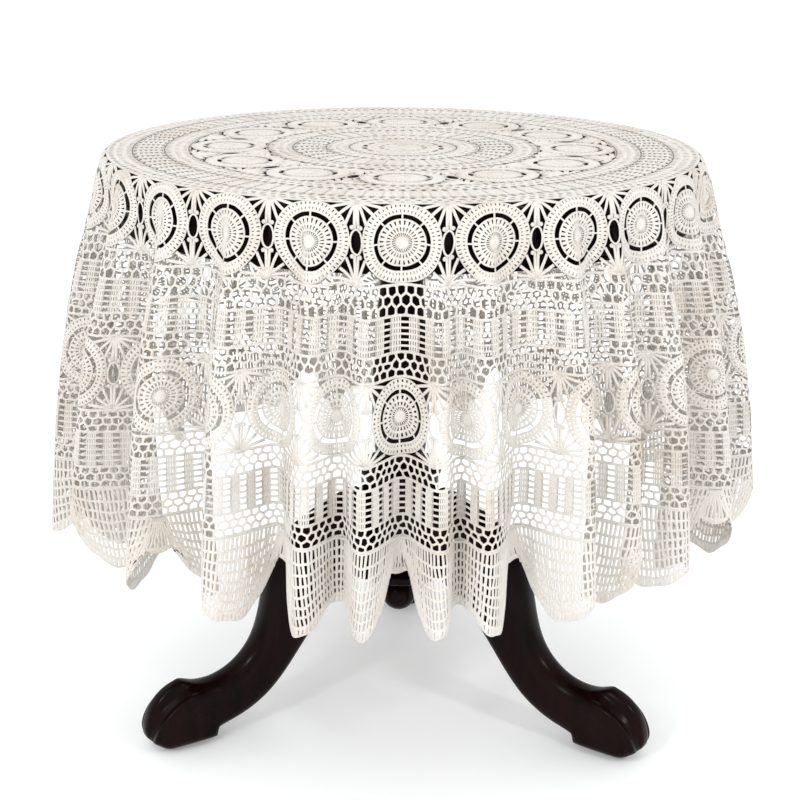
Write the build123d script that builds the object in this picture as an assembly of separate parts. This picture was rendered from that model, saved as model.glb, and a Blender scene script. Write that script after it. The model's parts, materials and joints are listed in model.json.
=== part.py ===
"""A round crochet tablecloth hanging over a drum-top pedestal table on three clawed legs.

Millimetres. +Z is up, -Y is the front, and the origin is on the floor under the centre of the table.
The cloth is plain here: closed bands that meet edge to edge, from the centre rosette out to the hem.
"""
from build123d import *
import math
import os

# ---- table top and drum ----
table_height = 757.0        # floor to the upper face of the wooden top
top_radius = 375.0
top_thickness = 24.0
edge_round = 7.0            # half-round worked on the edge of the top
drum_set_in = 3.0           # the drum stands this far inside the edge of the top
drum_wall = 20.0
drum_depth = 46.0
bead_height = 6.0           # cock bead under the drum wall
bead_proud = 2.0

# ---- bearers, block and fixings ----
bearer_width = 42.0
bearer_depth = 30.0
bearer_end_gap = 6.0        # free length between a bearer and the drum wall
bearer_screw_reach = 0.72   # share of half the bearer's length
block_side = 120.0
block_depth = 40.0
block_screw_inset = 18.0
glue_block_side = 22.0
glue_block_length = 60.0
glue_block_step = 52.0      # degrees between the three blocks on each side of the bearers
screw_shank = 5.0
screw_head = 10.0
screw_head_depth = 3.0
bearer_screw_length = 42.0
block_screw_length = 48.0
disc_screw_length = 32.0

# ---- pedestal ----
column_radius = 38.0        # widest part of the turned shaft
column_neck_radius = 27.0   # narrow part under the cap
shaft_foot_flare = 4.0      # how much wider than the neck the shaft is where it meets the collar
shaft_head_flare = 6.0      # and where it meets the cap
cap_radius = 50.0
cap_height = 16.0
collar_radius = 56.0
collar_height = 16.0
tenon_radius = 22.0
tenon_clearance = 0.1
tenon_seat = 20.0           # wood left in the hub between the tenon and the dowel
wedge_thickness = 4.0
hub_radius = 52.0
hub_bottom = 197.0
hub_top = 322.0
disc_radius = 68.0
disc_thickness = 12.0
disc_round = 4.0
ball_radius = 22.5
ball_neck_radius = 9.0
ball_neck_length = 16.0
ball_dowel_radius = 6.0
ball_dowel_depth = 20.0

# ---- legs ----
leg_turn = -1.3             # degrees that the base is turned about the column
leg_names = {"leg_front_left": -60.0, "leg_front_right": 60.0, "leg_back": 180.0}
leg_profile = [             # back (reach, height), underside (reach, height) and width, hub to foot
    ((112.0, 294.5), (84.0, 181.0), 56.0),
    ((168.0, 264.5), (110.0, 163.0), 58.0),
    ((200.0, 204.5), (134.0, 135.0), 58.0),
    ((211.0, 148.0), (153.0, 112.0), 54.0),
    ((229.0, 115.0), (174.0, 80.0), 50.0),
    ((254.0, 92.0), (205.0, 48.0), 46.0),
    ((284.0, 82.0), (246.0, 24.0), 46.0),
    ((308.0, 85.0), (286.0, 14.0), 50.0),
]
leg_root_width = 50.0
leg_root_overlap = 7.0      # how far the blank runs into the hub before it is cut back
tongue_wall = 8.0           # wood left between a dovetail socket and the tenon
tongue_root_width = 20.0
tongue_tip_width = 30.0
tongue_end_gap = 8.0        # wood left above and below each dovetail socket
joint_gap = 0.1
foot_radius = 322.0         # column axis to the middle of the foot
foot_length = 92.0
foot_width = 54.0
foot_height = 84.0
toe_radius = 13.0
toe_spread = 24.0           # degrees between neighbouring toes
glide_radius = 12.0
glide_thickness = 4.0

# ---- cloth ----
cloth_thickness = 3.0
edge_clearance = 0.6        # cloth to the edge of the top
rosette_radius = 62.0
inner_net_radius = 165.0
inner_wheel_radius = 249.0
rim_strip = 48.6            # width of the upper wheel ring that lies on the top
fold_count = 20
fold_reach = 80.0           # how much further out the ridges of the folds stand at the hem
points_per_fold = 6
band_drops = {              # height of each hanging band, from the top of the cloth down to the hem
    "upper_wheel_ring": 83.0,
    "upper_filet_band": 103.0,
    "lower_wheel_ring": 89.0,
    "lower_filet_band": 93.0,
    "scalloped_hem": 87.0,
}

# ---- worked out from the sizes above ----
top_underside = table_height - top_thickness
drum_outer = top_radius - drum_set_in
drum_inner = drum_outer - drum_wall
drum_bottom = top_underside - drum_depth
bearer_low = top_underside - bearer_depth
block_bottom = top_underside - block_depth
cap_bottom = block_bottom - cap_height
collar_top = hub_top + collar_height
disc_bottom = hub_bottom - disc_thickness
ball_centre = disc_bottom - ball_neck_length - ball_radius
cloth_inner = top_radius + edge_clearance
cloth_outer = cloth_inner + cloth_thickness
cloth_top = table_height + cloth_thickness
outer_net_radius = cloth_outer - rim_strip
bearer_offset = (block_side + bearer_width) / 2
bearer_half = math.sqrt(drum_inner ** 2 - (bearer_offset + bearer_width / 2) ** 2) - bearer_end_gap
tongue_depth = hub_radius - tenon_radius - tongue_wall
tenon_bottom = hub_bottom + ball_dowel_depth + tenon_seat
skirt_levels = {}
reached = cloth_top
for band, drop in band_drops.items():
    reached -= drop
    skirt_levels[band] = reached

parts = {}


def ring(outer, inner, low, high):
    """A plain ring about the column's axis."""
    body = Cylinder(outer, high - low, align=(Align.CENTER, Align.CENTER, Align.MIN))
    hole = Cylinder(inner, high - low, align=(Align.CENTER, Align.CENTER, Align.MIN))
    return Pos(0, 0, low) * (body - hole)


def disc(radius, low, high):
    """A plain disc about the column's axis."""
    return Pos(0, 0, low) * Cylinder(radius, high - low, align=(Align.CENTER, Align.CENTER, Align.MIN))


def turned(*edges):
    """A solid of revolution about Z from the edges of its half outline in the XZ plane."""
    return revolve(make_face(Curve() + list(edges)), Axis.Z, 360)


def wood_screw(length):
    """A countersunk screw with its head's face at the origin, pointing up."""
    head = Cone(screw_head / 2, screw_shank / 2, screw_head_depth, align=(Align.CENTER, Align.CENTER, Align.MIN))
    straight = length - screw_head_depth - screw_shank
    shank = Cylinder(screw_shank / 2, straight, align=(Align.CENTER, Align.CENTER, Align.MIN))
    tip = Cone(screw_shank / 2, screw_shank / 10, screw_shank, align=(Align.CENTER, Align.CENTER, Align.MIN))
    return head + Pos(0, 0, screw_head_depth) * shank + Pos(0, 0, length - screw_shank) * tip


def screw_group(places, length, level):
    """Copies of one screw with their heads at one level."""
    return [Pos(x, y, level) * wood_screw(length) for x, y in places]


def cut(body, tools):
    """Takes each tool out of a body."""
    for tool in tools:
        body = body - tool
    return body


# ---- table top, drum and what is under it ----
def table_top():
    """The round top with a half-round edge above and below."""
    slab = disc(top_radius, top_underside, table_height)
    return fillet(slab.edges().filter_by(GeomType.CIRCLE), edge_round)


def drum_bead():
    """The cock bead glued under the drum wall, rounded on its outer side."""
    low = drum_bottom - bead_height
    bead = ring(drum_outer + bead_proud, drum_inner, low, drum_bottom)
    rim = bead.edges().filter_by(GeomType.CIRCLE).sort_by(SortBy.RADIUS)[-2:]
    return fillet(rim, bead_height * 0.4)


def bearer(side):
    """A bar across the grain of the top, on one side of the block."""
    bar = Pos(0, side * bearer_offset, top_underside - bearer_depth / 2) * Box(
        2 * bearer_half, bearer_width, bearer_depth
    )
    ends = bar.edges().filter_by(Axis.Y).group_by(Axis.Z)[0]
    return chamfer(ends, bearer_depth * 0.4)


def glue_blocks():
    """Short blocks in the corner between the top and the drum wall, clear of the bearers."""
    face_distance = math.sqrt(drum_inner ** 2 - (glue_block_length / 2) ** 2)
    blocks = []
    place = Pos(face_distance - glue_block_side / 2, 0, top_underside - glue_block_side / 2)
    for side in (90, 270):
        for step in (-glue_block_step, 0, glue_block_step):
            block = Box(glue_block_side, glue_block_length, glue_block_side)
            blocks.append(Rot(0, 0, side + step) * (place * block))
    return blocks


bearer_places = [
    (x * bearer_half * bearer_screw_reach, y * bearer_offset) for x in (-1, 1) for y in (-1, 1)
]
bearer_screws = screw_group(bearer_places, bearer_screw_length, bearer_low)
block_reach = block_side / 2 - block_screw_inset
block_places = [(x * block_reach, y * block_reach) for x in (-1, 1) for y in (-1, 1)]
block_screws = screw_group(block_places, block_screw_length, block_bottom)

parts["table_top"] = cut(table_top(), bearer_screws + block_screws)
parts["drum_wall"] = ring(drum_outer, drum_inner, drum_bottom, top_underside)
parts["drum_bead"] = drum_bead()
parts["bearer_front"] = cut(bearer(-1), bearer_screws)
parts["bearer_back"] = cut(bearer(1), bearer_screws)
parts["bearer_screws"] = Compound(children=[s.solid() for s in bearer_screws])
parts["glue_blocks"] = Compound(children=[b.solid() for b in glue_blocks()])

# ---- column ----
block = Pos(0, 0, block_bottom + block_depth / 2) * Box(block_side, block_side, block_depth)
block = block - disc(tenon_radius + tenon_clearance, block_bottom, top_underside)
parts["top_block"] = cut(block, block_screws)
parts["block_screws"] = Compound(children=[s.solid() for s in block_screws])

wedge_depth = block_depth * 0.7
wedge = Pos(0, 0, top_underside - wedge_depth / 2) * Box(2 * tenon_radius * 0.8, wedge_thickness, wedge_depth)
parts["tenon_wedge"] = wedge


def column_cap():
    """The turned moulding under the block: a half-round with the tenon's hole through it."""
    body = disc(cap_radius, cap_bottom, block_bottom)
    body = fillet(body.edges().filter_by(GeomType.CIRCLE), cap_height * 0.45)
    return body - disc(tenon_radius + tenon_clearance, cap_bottom, block_bottom)


def column_shaft():
    """The vase-shaped shaft with a tenon at each end."""
    height = cap_bottom - collar_top
    belly = collar_top + height * 0.24
    neck = collar_top + height * 0.86
    shaft_foot = column_neck_radius + shaft_foot_flare
    shaft_head = column_neck_radius + shaft_head_flare
    side = Spline(
        (shaft_foot, 0, collar_top),
        (column_radius, 0, belly),
        ((column_radius + column_neck_radius) / 2, 0, collar_top + height * 0.58),
        (column_neck_radius, 0, neck),
        (shaft_head, 0, cap_bottom),
    )
    shaft = turned(
        Line((0, 0, collar_top), (shaft_foot, 0, collar_top)),
        side,
        Line((shaft_head, 0, cap_bottom), (0, 0, cap_bottom)),
        Line((0, 0, cap_bottom), (0, 0, collar_top)),
    )
    upper_tenon = disc(tenon_radius, cap_bottom, top_underside)
    lower_tenon = disc(tenon_radius, tenon_bottom, collar_top)
    return shaft + upper_tenon + lower_tenon - wedge


def column_collar():
    """The bead between the shaft and the hub."""
    body = disc(collar_radius, hub_top, collar_top)
    body = fillet(body.edges().filter_by(GeomType.CIRCLE), collar_height * 0.45)
    return body - disc(tenon_radius + tenon_clearance, hub_top, collar_top)


def tongue(gap):
    """A leg's dovetail tongue along +X, grown by a gap for its socket."""
    root = tongue_root_width / 2 + gap
    tip = tongue_tip_width / 2 + gap
    start = hub_radius - tongue_depth - gap
    outline = Polyline(
        (start, -tip), (hub_radius + 1, -root), (hub_radius + 1, root), (start, tip), close=True
    )
    low = hub_bottom + tongue_end_gap - gap
    high = hub_top - tongue_end_gap + gap
    return Pos(0, 0, low) * extrude(make_face(outline), high - low)


def leg_hub():
    """The round block that the three legs are dovetailed into."""
    body = disc(hub_radius, hub_bottom, hub_top)
    body = body - disc(tenon_radius + tenon_clearance, tenon_bottom, hub_top)
    for angle in leg_names.values():
        body = body - Rot(0, 0, angle - 90 + leg_turn) * tongue(joint_gap)
    body = body - disc(ball_dowel_radius, hub_bottom, hub_bottom + ball_dowel_depth)
    return cut(body, disc_screws)


def hub_disc():
    """The round plate that closes the hub and the feet of the dovetails."""
    body = disc(disc_radius, disc_bottom, hub_bottom)
    body = fillet(body.edges().filter_by(GeomType.CIRCLE), disc_round)
    body = body - disc(ball_dowel_radius, disc_bottom, hub_bottom)
    return cut(body, disc_screws)


def pendant_ball():
    """The turned drop under the hub with its neck."""
    ball = Pos(0, 0, ball_centre) * Sphere(ball_radius)
    neck = disc(ball_neck_radius, ball_centre, disc_bottom)
    dowel_hole = disc(ball_dowel_radius, ball_centre, disc_bottom)
    return ball + neck - dowel_hole


screw_circle = (hub_radius - tongue_depth + hub_radius) / 2
screw_turns = [math.radians(angle - 30 + leg_turn) for angle in leg_names.values()]
disc_places = [(screw_circle * math.cos(turn), screw_circle * math.sin(turn)) for turn in screw_turns]
disc_screws = screw_group(disc_places, disc_screw_length, disc_bottom)

parts["column_cap"] = column_cap()
parts["column_shaft"] = column_shaft()
parts["column_collar"] = column_collar()
parts["leg_hub"] = leg_hub()
parts["hub_disc"] = hub_disc()
parts["hub_disc_screws"] = Compound(children=[s.solid() for s in disc_screws])
parts["pendant_ball"] = pendant_ball()
parts["pendant_dowel"] = disc(ball_dowel_radius, ball_centre, hub_bottom + ball_dowel_depth)


# ---- legs ----
def leg_section(top, bottom, width):
    """A rounded section of the leg between a point on its back and one on its underside."""
    height = math.dist(top, bottom)
    up = ((top[0] - bottom[0]) / height, (top[1] - bottom[1]) / height)
    middle = ((top[0] + bottom[0]) / 2, 0, (top[1] + bottom[1]) / 2)
    plane = Plane(origin=middle, x_dir=(0, 1, 0), z_dir=(up[1], 0, -up[0]))
    return (plane * RectangleRounded(width, height, width * 0.42)).face()


def toe(angle):
    """One toe of the foot: a knuckle above and a claw that comes down to the floor."""
    reach = foot_length / 2
    swing = Pos(foot_radius - 8, 0, 0) * Rot(0, 0, angle)
    knuckle = swing * (Pos(reach * 0.34, 0, foot_height * 0.70) * Sphere(toe_radius * 1.15))
    joint = swing * (Pos(reach * 0.80, 0, foot_height * 0.48) * Sphere(toe_radius * 1.05))
    claw_base = Plane(origin=(reach * 0.86, 0, foot_height * 0.46), z_dir=(0.12, 0, -1))
    claw = swing * (claw_base * Cone(toe_radius, toe_radius * 0.6, foot_height * 0.40,
                                      align=(Align.CENTER, Align.CENTER, Align.MIN)))
    return [knuckle, joint, claw]


def leg_blank():
    """The sawn and shaped leg along +X: knee, shin and ankle as one smooth loft, with the foot on its end."""
    root = hub_radius - leg_root_overlap
    sections = [leg_section((root, hub_top - 4), (root, hub_bottom + 1), leg_root_width)]
    sections += [leg_section(back, underside, width) for back, underside, width in leg_profile]
    shank = loft(sections)
    pad = Pos(foot_radius, 0, foot_height * 0.46) * scale(
        Sphere(1), (foot_length * 0.46, foot_width * 0.5, foot_height * 0.52)
    )
    body = shank + pad
    for angle in (-toe_spread, 0, toe_spread):
        for piece in toe(angle):
            body = body + piece
    below = Pos(foot_radius, 0, glide_thickness / 2 - foot_height / 2) * Box(
        foot_length * 2, foot_width * 3, foot_height + glide_thickness
    )
    return body - below


def leg():
    """A finished leg: the blank cut back to the hub's face, with its dovetail tongue."""
    socket_face = disc(hub_radius + joint_gap, 0, table_height)
    disc_space = disc(disc_radius + joint_gap, 0, hub_bottom + joint_gap)
    collar_space = disc(collar_radius + joint_gap, hub_top - joint_gap, table_height)
    return leg_blank() - socket_face - disc_space - collar_space + tongue(0)


one_leg = leg()
glides = []
for name, angle in leg_names.items():
    turn = Rot(0, 0, angle - 90 + leg_turn)
    parts[name] = turn * one_leg
    glides.append(turn * (Pos(foot_radius, 0, 0) * disc(glide_radius, 0, glide_thickness)))
parts["foot_glides"] = Compound(children=[g.solid() for g in glides])


# ---- cloth ----
def fold_loop(level, offset):
    """A closed curve round the skirt at one level, moved off the cloth's middle by an offset."""
    depth = (skirt_levels["upper_wheel_ring"] - level) / (
        skirt_levels["upper_wheel_ring"] - skirt_levels["scalloped_hem"]
    )
    swing = fold_reach / 2 * depth
    middle = cloth_inner + cloth_thickness / 2 + swing
    points = []
    for i in range(fold_count * points_per_fold):
        angle = 2 * math.pi * i / (fold_count * points_per_fold)
        radius = middle + swing * math.cos(fold_count * angle)
        slope = -swing * fold_count * math.sin(fold_count * angle)
        steep = math.hypot(radius, slope)
        out = offset * radius / steep
        along = -offset * slope / steep
        x = (radius + out) * math.cos(angle) - along * math.sin(angle)
        y = (radius + out) * math.sin(angle) + along * math.cos(angle)
        points.append((x, y, level))
    return make_face(Curve() + [Spline(*points, periodic=True)]).face()


def skirt_band(high, low):
    """A hanging band of the cloth between two levels, with its folds."""
    half = cloth_thickness / 2
    outer = loft([fold_loop(low, half), fold_loop(high, half)], ruled=True)
    inner = loft([fold_loop(low, -half), fold_loop(high, -half)], ruled=True)
    return outer - inner


def rim_band():
    """The ring of the cloth that turns over the edge of the top, rounded on its outer corner."""
    lip = ring(cloth_outer, outer_net_radius, table_height, cloth_top)
    outer_edge = lip.edges().filter_by(GeomType.CIRCLE).group_by(Axis.Z)[-1].sort_by(SortBy.RADIUS)[-1]
    lip = fillet(outer_edge, cloth_thickness * 0.8)
    return lip + ring(cloth_outer, cloth_inner, skirt_levels["upper_wheel_ring"], table_height)


parts["centre_rosette"] = disc(rosette_radius, table_height, cloth_top)
parts["inner_net"] = ring(inner_net_radius, rosette_radius, table_height, cloth_top)
parts["inner_wheel_ring"] = ring(inner_wheel_radius, inner_net_radius, table_height, cloth_top)
parts["outer_net"] = ring(outer_net_radius, inner_wheel_radius, table_height, cloth_top)
parts["upper_wheel_ring"] = rim_band()
band_names = list(skirt_levels)
for above, name in zip(band_names, band_names[1:]):
    parts[name] = skirt_band(skirt_levels[above], skirt_levels[name])

os.makedirs("parts", exist_ok=True)
for name, shape in parts.items():
    export_step(shape, f"parts/{name}.step")
    box = shape.bounding_box()
    print(name, len(shape.solids()), round(shape.volume), [round(v, 1) for v in (*box.min, *box.max)])
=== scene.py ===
"""Looks for a round crochet tablecloth hanging over a drum-top pedestal table with three carved legs.

The lace is worked flat, round by round, as a real cloth is, and is then laid on one draped surface.
Metres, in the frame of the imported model: +Z up, -Y to the front, the floor at z = 0.
"""
import sys
import enum
import json
import logging
import math
from dataclasses import dataclass, field

import bmesh
import bpy
import numpy as np
from mathutils import Matrix, Vector


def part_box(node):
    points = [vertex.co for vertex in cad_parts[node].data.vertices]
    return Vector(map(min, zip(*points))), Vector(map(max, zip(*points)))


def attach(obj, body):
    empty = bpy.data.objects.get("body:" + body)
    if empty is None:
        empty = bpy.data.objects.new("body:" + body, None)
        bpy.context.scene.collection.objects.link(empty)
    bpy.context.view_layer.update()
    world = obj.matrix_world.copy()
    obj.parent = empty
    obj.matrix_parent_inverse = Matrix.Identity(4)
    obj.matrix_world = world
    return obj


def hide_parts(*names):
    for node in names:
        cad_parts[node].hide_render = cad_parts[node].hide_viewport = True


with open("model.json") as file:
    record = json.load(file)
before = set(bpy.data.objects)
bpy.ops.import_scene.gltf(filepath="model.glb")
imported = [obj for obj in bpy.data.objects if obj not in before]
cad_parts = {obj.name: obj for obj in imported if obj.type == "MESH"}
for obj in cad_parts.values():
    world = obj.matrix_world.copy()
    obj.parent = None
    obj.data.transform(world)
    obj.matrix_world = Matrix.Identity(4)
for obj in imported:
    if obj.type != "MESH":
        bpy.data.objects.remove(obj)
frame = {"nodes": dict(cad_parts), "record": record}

LOG = logging.getLogger("tablecloth")
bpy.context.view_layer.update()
CLOTH_BODY = "tablecloth"
TABLE_BODY = "table"
CHAIN_WIDTH = 0.003                 # width of the chains that edge a net
FOOT_HEIGHT = 0.05                  # a leg below this level is its foot


# ------------------------------------------------------------------ small helpers
def new_object(name: str, bm: bmesh.types.BMesh, smooth: bool = True) -> bpy.types.Object:
    """Turns a bmesh into a linked object at the origin.

    Args:
        name: The object's name.
        bm: The mesh, freed afterwards.
        smooth: Whether its faces are smooth shaded.

    Returns:
        The new object.
    """
    mesh = bpy.data.meshes.new(name)
    bm.to_mesh(mesh)
    bm.free()
    mesh.polygons.foreach_set("use_smooth", [smooth] * len(mesh.polygons))
    thing = bpy.data.objects.new(name, mesh)
    bpy.context.scene.collection.objects.link(thing)
    return thing


def apply_modifiers(thing: bpy.types.Object) -> None:
    """Replaces an object's mesh with its evaluated mesh and drops its modifiers."""
    graph = bpy.context.evaluated_depsgraph_get()
    mesh = bpy.data.meshes.new_from_object(thing.evaluated_get(graph), depsgraph=graph)
    thing.modifiers.clear()
    old = thing.data
    thing.data = mesh
    bpy.data.meshes.remove(old)


def spin_copies(bm: bmesh.types.BMesh, count: int) -> None:
    """Repeats everything in a flat mesh to make `count` even repeats round the centre.

    Args:
        bm: The mesh of one repeat.
        count: How many repeats go round.
    """
    bmesh.ops.spin(
        bm,
        geom=bm.verts[:] + bm.edges[:] + bm.faces[:],
        cent=(0, 0, 0),
        axis=(0, 0, 1),
        dvec=(0, 0, 0),
        angle=math.tau * (count - 1) / count,
        steps=count - 1,
        use_merge=False,
        use_duplicate=True,
    )


def loosen(bm: bmesh.types.BMesh, amount: float, seed: int) -> None:
    """Shifts each inner point of a flat mesh a little, as in work done by hand.

    Args:
        bm: The mesh.
        amount: The usual size of a shift.
        seed: Picks the shifts.
    """
    dice = np.random.default_rng(seed)
    for vert in bm.verts:
        step = dice.normal(0.0, amount, 2)
        if not vert.is_boundary:
            vert.co += Vector((step[0], step[1], 0))


def open_holes(bm: bmesh.types.BMesh, faces: list[bmesh.types.BMFace], thread: float,
               guarded: bool = False) -> None:
    """Leaves a thread round each face and takes the rest of it out.

    Args:
        bm: The mesh.
        faces: The faces that become holes.
        thread: Half the width of the thread between two holes.
        guarded: Whether a corner that would shoot out of a narrow face goes to its middle instead.
    """
    middles = [face.calc_center_median() for face in faces]
    reaches = [max((v.co - middle).length for v in face.verts) for face, middle in zip(faces, middles)]
    bmesh.ops.inset_individual(bm, faces=faces, thickness=thread, use_even_offset=True)
    if guarded:
        for face, middle, reach in zip(faces, middles, reaches):
            for vert in face.verts:
                if (vert.co - middle).length > reach:
                    vert.co = middle
    bmesh.ops.delete(bm, geom=faces, context="FACES_ONLY")
    loose = [e for e in bm.edges if not e.link_faces]
    bmesh.ops.delete(bm, geom=loose, context="EDGES")


# ------------------------------------------------------------------ finishes
class Finish:
    """A procedural material with a few node-building helpers."""

    name: str

    def start(self) -> tuple[bpy.types.Material, bpy.types.NodeTree, bpy.types.Node]:
        """Makes an empty node material with a Principled shader.

        Returns:
            The material, its node tree and the shader.
        """
        material = bpy.data.materials.new(self.name)
        material.use_nodes = True
        tree = material.node_tree
        shader = tree.nodes["Principled BSDF"]
        return material, tree, shader

    @staticmethod
    def node(tree: bpy.types.NodeTree, kind: str, **values: object) -> bpy.types.Node:
        """Adds a node and sets its plain inputs by name.

        Args:
            tree: The node tree.
            kind: The node's type name.
            values: Input names with underscores for spaces, and their values.

        Returns:
            The node.
        """
        made = tree.nodes.new(kind)
        for key, value in values.items():
            made.inputs[key.replace("_", " ")].default_value = value
        return made

    @classmethod
    def ramp(cls, tree: bpy.types.NodeTree, source: bpy.types.NodeSocket,
             stops: list[tuple[float, tuple[float, float, float]]]) -> bpy.types.NodeSocket:
        """Maps a value to colours.

        Args:
            tree: The node tree.
            source: The value.
            stops: Positions and linear colours.

        Returns:
            The colour output.
        """
        made = tree.nodes.new("ShaderNodeValToRGB")
        elements = made.color_ramp.elements
        while len(elements) < len(stops):
            elements.new(0.5)
        for element, (place, colour) in zip(elements, stops):
            element.position = place
            element.color = (*colour, 1.0)
        tree.links.new(source, made.inputs["Fac"])
        return made.outputs["Color"]

    @classmethod
    def coordinates(cls, tree: bpy.types.NodeTree, kind: str,
                    scale: tuple[float, float, float]) -> bpy.types.NodeSocket:
        """Gives stretched Object or UV coordinates.

        Args:
            tree: The node tree.
            kind: "Object" or "UV".
            scale: The stretch along each axis.

        Returns:
            The vector output.
        """
        source = tree.nodes.new("ShaderNodeTexCoord")
        mapping = tree.nodes.new("ShaderNodeMapping")
        mapping.inputs["Scale"].default_value = scale
        tree.links.new(source.outputs[kind], mapping.inputs["Vector"])
        return mapping.outputs["Vector"]


@dataclass(frozen=True)
class CrochetCotton(Finish):
    """Ivory mercerised cotton: a soft sheen, and the twist of the thread as fine slanted ribs."""

    name: str = "crochet_cotton"
    light: tuple[float, float, float] = (0.775, 0.735, 0.685)
    dull: tuple[float, float, float] = (0.64, 0.55, 0.465)
    twist_scale: float = 950.0
    tone_scale: float = 9.0

    def build(self) -> bpy.types.Material:
        """Makes the material."""
        material, tree, shader = self.start()
        tone = self.node(tree, "ShaderNodeTexNoise", Scale=self.tone_scale, Detail=4.0, Roughness=0.6)
        tree.links.new(self.coordinates(tree, "UV", (1, 1, 1)), tone.inputs["Vector"])
        stitch = self.node(tree, "ShaderNodeTexNoise", Scale=320.0, Detail=2.0, Roughness=0.5)
        tree.links.new(self.coordinates(tree, "UV", (1, 1, 1)), stitch.inputs["Vector"])
        blend = tree.nodes.new("ShaderNodeMath")
        blend.operation = "MULTIPLY_ADD"
        blend.inputs[1].default_value = 0.45
        tree.links.new(stitch.outputs["Fac"], blend.inputs[0])
        tree.links.new(tone.outputs["Fac"], blend.inputs[2])
        colour = self.ramp(tree, blend.outputs["Value"], [(0.45, self.dull), (0.72, self.light)])
        tree.links.new(colour, shader.inputs["Base Color"])
        twist = tree.nodes.new("ShaderNodeTexWave")
        twist.wave_type = "BANDS"
        twist.bands_direction = "DIAGONAL"
        twist.inputs["Scale"].default_value = self.twist_scale
        twist.inputs["Distortion"].default_value = 2.5
        twist.inputs["Detail"].default_value = 1.0
        tree.links.new(self.coordinates(tree, "UV", (1, 1, 1)), twist.inputs["Vector"])
        bump = self.node(tree, "ShaderNodeBump", Strength=0.45, Distance=0.0006)
        tree.links.new(twist.outputs["Fac"], bump.inputs["Height"])
        tree.links.new(bump.outputs["Normal"], shader.inputs["Normal"])
        shader.inputs["Roughness"].default_value = 0.78
        shader.inputs["Sheen Weight"].default_value = 0.25
        shader.inputs["Sheen Roughness"].default_value = 0.5
        shader.inputs["Specular IOR Level"].default_value = 0.3
        return material


class Polish(enum.Enum):
    """How a wooden piece is finished."""

    GLOSS = "gloss"
    BARE = "bare"


@dataclass(frozen=True)
class Timber(Finish):
    """Wood with its grain along one axis of the object."""

    name: str
    dark: tuple[float, float, float]
    light: tuple[float, float, float]
    polish: Polish
    grain: tuple[float, float, float] = (60.0, 60.0, 4.0)

    def build(self) -> bpy.types.Material:
        """Makes the material."""
        material, tree, shader = self.start()
        grain = self.node(tree, "ShaderNodeTexNoise", Scale=1.0, Detail=8.0, Roughness=0.65, Distortion=0.6)
        tree.links.new(self.coordinates(tree, "Object", self.grain), grain.inputs["Vector"])
        cloud = self.node(tree, "ShaderNodeTexNoise", Scale=7.0, Detail=2.0)
        tree.links.new(self.coordinates(tree, "Object", (1, 1, 1)), cloud.inputs["Vector"])
        mixed = tree.nodes.new("ShaderNodeMath")
        mixed.operation = "MULTIPLY_ADD"
        mixed.inputs[1].default_value = 0.6
        tree.links.new(cloud.outputs["Fac"], mixed.inputs[0])
        tree.links.new(grain.outputs["Fac"], mixed.inputs[2])
        colour = self.ramp(tree, mixed.outputs["Value"], [(0.55, self.dark), (1.0, self.light)])
        tree.links.new(colour, shader.inputs["Base Color"])
        pores = self.node(tree, "ShaderNodeTexNoise", Scale=1.0, Detail=6.0, Roughness=0.7)
        fine = tuple(4 * g for g in self.grain)
        tree.links.new(self.coordinates(tree, "Object", fine), pores.inputs["Vector"])
        gloss = self.polish is Polish.GLOSS
        bump = self.node(tree, "ShaderNodeBump", Strength=0.06 if gloss else 0.3, Distance=0.0008)
        tree.links.new(pores.outputs["Fac"], bump.inputs["Height"])
        tree.links.new(bump.outputs["Normal"], shader.inputs["Normal"])
        rough = self.node(tree, "ShaderNodeMapRange")
        rough.inputs["To Min"].default_value = 0.15 if gloss else 0.55
        rough.inputs["To Max"].default_value = 0.28 if gloss else 0.8
        tree.links.new(cloud.outputs["Fac"], rough.inputs["Value"])
        tree.links.new(rough.outputs["Result"], shader.inputs["Roughness"])
        if gloss:
            shader.inputs["Specular IOR Level"].default_value = 0.07
        return material


@dataclass(frozen=True)
class Hardware(Finish):
    """Metal or moulded fittings with a fine brushed or pebbled surface."""

    name: str
    colour: tuple[float, float, float]
    metallic: float
    roughness: float

    def build(self) -> bpy.types.Material:
        """Makes the material."""
        material, tree, shader = self.start()
        noise = self.node(tree, "ShaderNodeTexNoise", Scale=400.0, Detail=3.0)
        tree.links.new(self.coordinates(tree, "Object", (1, 1, 1)), noise.inputs["Vector"])
        worn = tuple(0.7 * c for c in self.colour)
        colour = self.ramp(tree, noise.outputs["Fac"], [(0.3, worn), (0.7, self.colour)])
        tree.links.new(colour, shader.inputs["Base Color"])
        bump = self.node(tree, "ShaderNodeBump", Strength=0.2, Distance=0.0003)
        tree.links.new(noise.outputs["Fac"], bump.inputs["Height"])
        tree.links.new(bump.outputs["Normal"], shader.inputs["Normal"])
        shader.inputs["Metallic"].default_value = self.metallic
        shader.inputs["Roughness"].default_value = self.roughness
        return material


@dataclass(frozen=True)
class Backdrop(Finish):
    """The plain pale floor."""

    name: str = "pale_floor"

    def build(self) -> bpy.types.Material:
        """Makes the material."""
        material, tree, shader = self.start()
        noise = self.node(tree, "ShaderNodeTexNoise", Scale=2.0, Detail=2.0)
        tree.links.new(self.coordinates(tree, "Object", (1, 1, 1)), noise.inputs["Vector"])
        stops = [(0.0, (0.935, 0.95, 0.96)), (1.0, (0.95, 0.965, 0.975))]
        colour = self.ramp(tree, noise.outputs["Fac"], stops)
        tree.links.new(colour, shader.inputs["Base Color"])
        shader.inputs["Roughness"].default_value = 0.9
        shader.inputs["Emission Color"].default_value = (1.0, 1.0, 1.0, 1.0)
        shader.inputs["Emission Strength"].default_value = 0.15
        return material


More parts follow.
